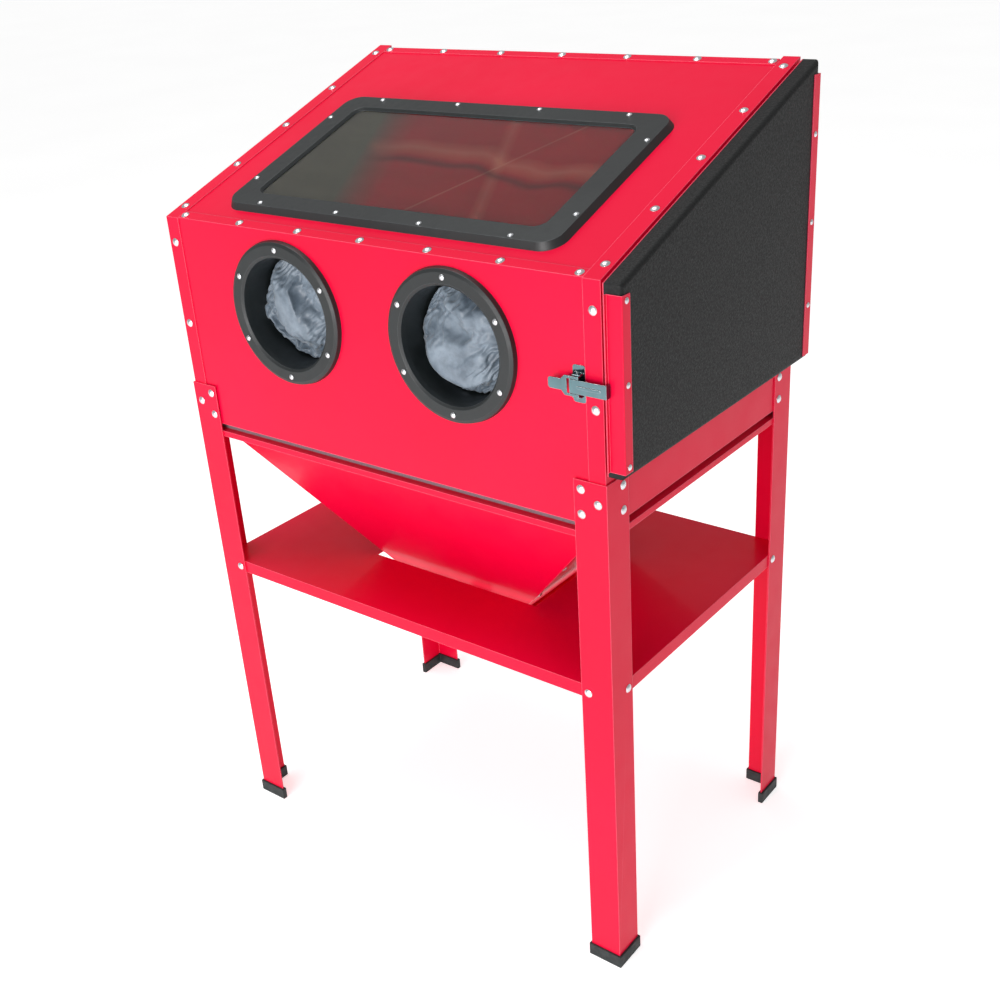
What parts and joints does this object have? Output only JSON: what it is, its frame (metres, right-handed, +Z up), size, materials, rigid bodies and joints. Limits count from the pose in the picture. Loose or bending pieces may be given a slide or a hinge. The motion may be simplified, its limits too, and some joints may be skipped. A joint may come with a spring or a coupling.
{
  "type": "sandblast cabinet",
  "caption": "Floor-standing sandblast cabinet with a slanted window, two gloved arm ports, a latched side door, a hopper with a clean-out door and a shelf on angle legs.",
  "frame": {"origin": "middle of the bottom of the bounding box, on the floor", "axes": "+Z up, the operator stands on -Y, the door is on +X"},
  "size_m": [0.8864, 0.6162, 1.3585],
  "materials": {
    "red_powder_coat": "gloss",
    "black_moulding": "satin",
    "black_textured_shell": "textured",
    "foot_rubber": "matte",
    "foam": "matte",
    "window_glass": "clear",
    "clear_film": "clear",
    "zinc": "bright zinc",
    "chrome": "polished",
    "glove_rubber": "satin",
    "steel": "plain",
    "lamp_white": "satin",
    "ceramic": "matte",
    "grip_black": "satin"
  },
  "bodies": {
    "cabinet": {"air_inlet": "zinc", "arm_ring_left": "black_moulding", "arm_ring_right": "black_moulding", "back_panel": "red_powder_coat", "body_hinge_leaf": "zinc", "clean_out_collar": "red_powder_coat", "clean_out_pin": "zinc", "door_seal": "foam", "dust_outlet_collar": "steel", "foot_front_left": "foot_rubber", "foot_front_right": "foot_rubber", "foot_rear_left": "foot_rubber", "foot_rear_right": "foot_rubber", "frame_bolts": "zinc", "front_panel": "red_powder_coat", "glove_clamps": "zinc", "glove_left": "glove_rubber", "glove_right": "glove_rubber", "gun_body": "grip_black", "gun_hook": "steel", "gun_nozzle": "ceramic", "gun_trigger_pin": "zinc", "hinge_pin": "zinc", "hopper_back": "red_powder_coat", "hopper_front": "red_powder_coat", "hopper_gasket": "foam", "hopper_left": "red_powder_coat", "hopper_right": "red_powder_coat", "hopper_rim": "red_powder_coat", "hopper_screws": "zinc", "lamp_housing": "lamp_white", "lamp_lens": "clear_film", "latch_base": "chrome", "latch_lever_pin": "chrome", "left_side_panel": "red_powder_coat", "leg_front_left": "red_powder_coat", "leg_front_right": "red_powder_coat", "leg_rear_left": "red_powder_coat", "leg_rear_right": "red_powder_coat", "media_pickup_tube": "steel", "panel_screws": "zinc", "right_side_frame": "red_powder_coat", "shelf": "red_powder_coat", "window_film": "clear_film", "window_frame": "black_moulding", "window_glass": "window_glass", "window_panel": "red_powder_coat", "window_seal": "foam", "work_grate": "steel"},
    "door": {"door_shell": "black_textured_shell", "door_inner_panel": "red_powder_coat", "door_latch_angle": "red_powder_coat", "door_hinge_strip": "red_powder_coat", "door_screws": "zinc"},
    "latch_lever": {"latch_lever": "chrome", "latch_hook_pin": "chrome"},
    "latch_hook": {"latch_hook": "chrome"},
    "clean_out_door": {"clean_out_door": "red_powder_coat"},
    "gun_trigger": {"gun_trigger": "grip_black"}
  },
  "joints": [
    {"name": "door_hinge", "type": "hinge", "parent": "cabinet", "child": "door", "pos_m": [0.4098, 0.25935, 1.117], "axis": [0, 0, 1], "range_deg": [0, 120]},
    {"name": "latch_lever_pivot", "type": "hinge", "parent": "cabinet", "child": "latch_lever", "pos_m": [0.3723, -0.30235, 1.0185], "axis": [0, 0, 1], "range_deg": [0, 100]},
    {"name": "latch_hook_pivot", "type": "hinge", "parent": "latch_lever", "child": "latch_hook", "pos_m": [0.3643, -0.30135, 1.0185], "axis": [0, 0, 1], "range_deg": [-100, 0]},
    {"name": "clean_out_hinge", "type": "hinge", "parent": "cabinet", "child": "clean_out_door", "pos_m": [-0.0147, 0.08385, 0.459], "axis": [1, 0, 0], "range_deg": [0, 100]},
    {"name": "gun_trigger_pivot", "type": "hinge", "parent": "cabinet", "child": "gun_trigger", "pos_m": [-0.3447, 0.13065, 1.0445], "axis": [1, 0, 0], "range_deg": [0, 7], "stiffness_Nm_per_rad": 0.4, "springref_deg": -11.46}
  ],
  "couplings": [
    {"joint": "latch_hook_pivot", "follows": "latch_lever_pivot", "ratio": -1}
  ]
}
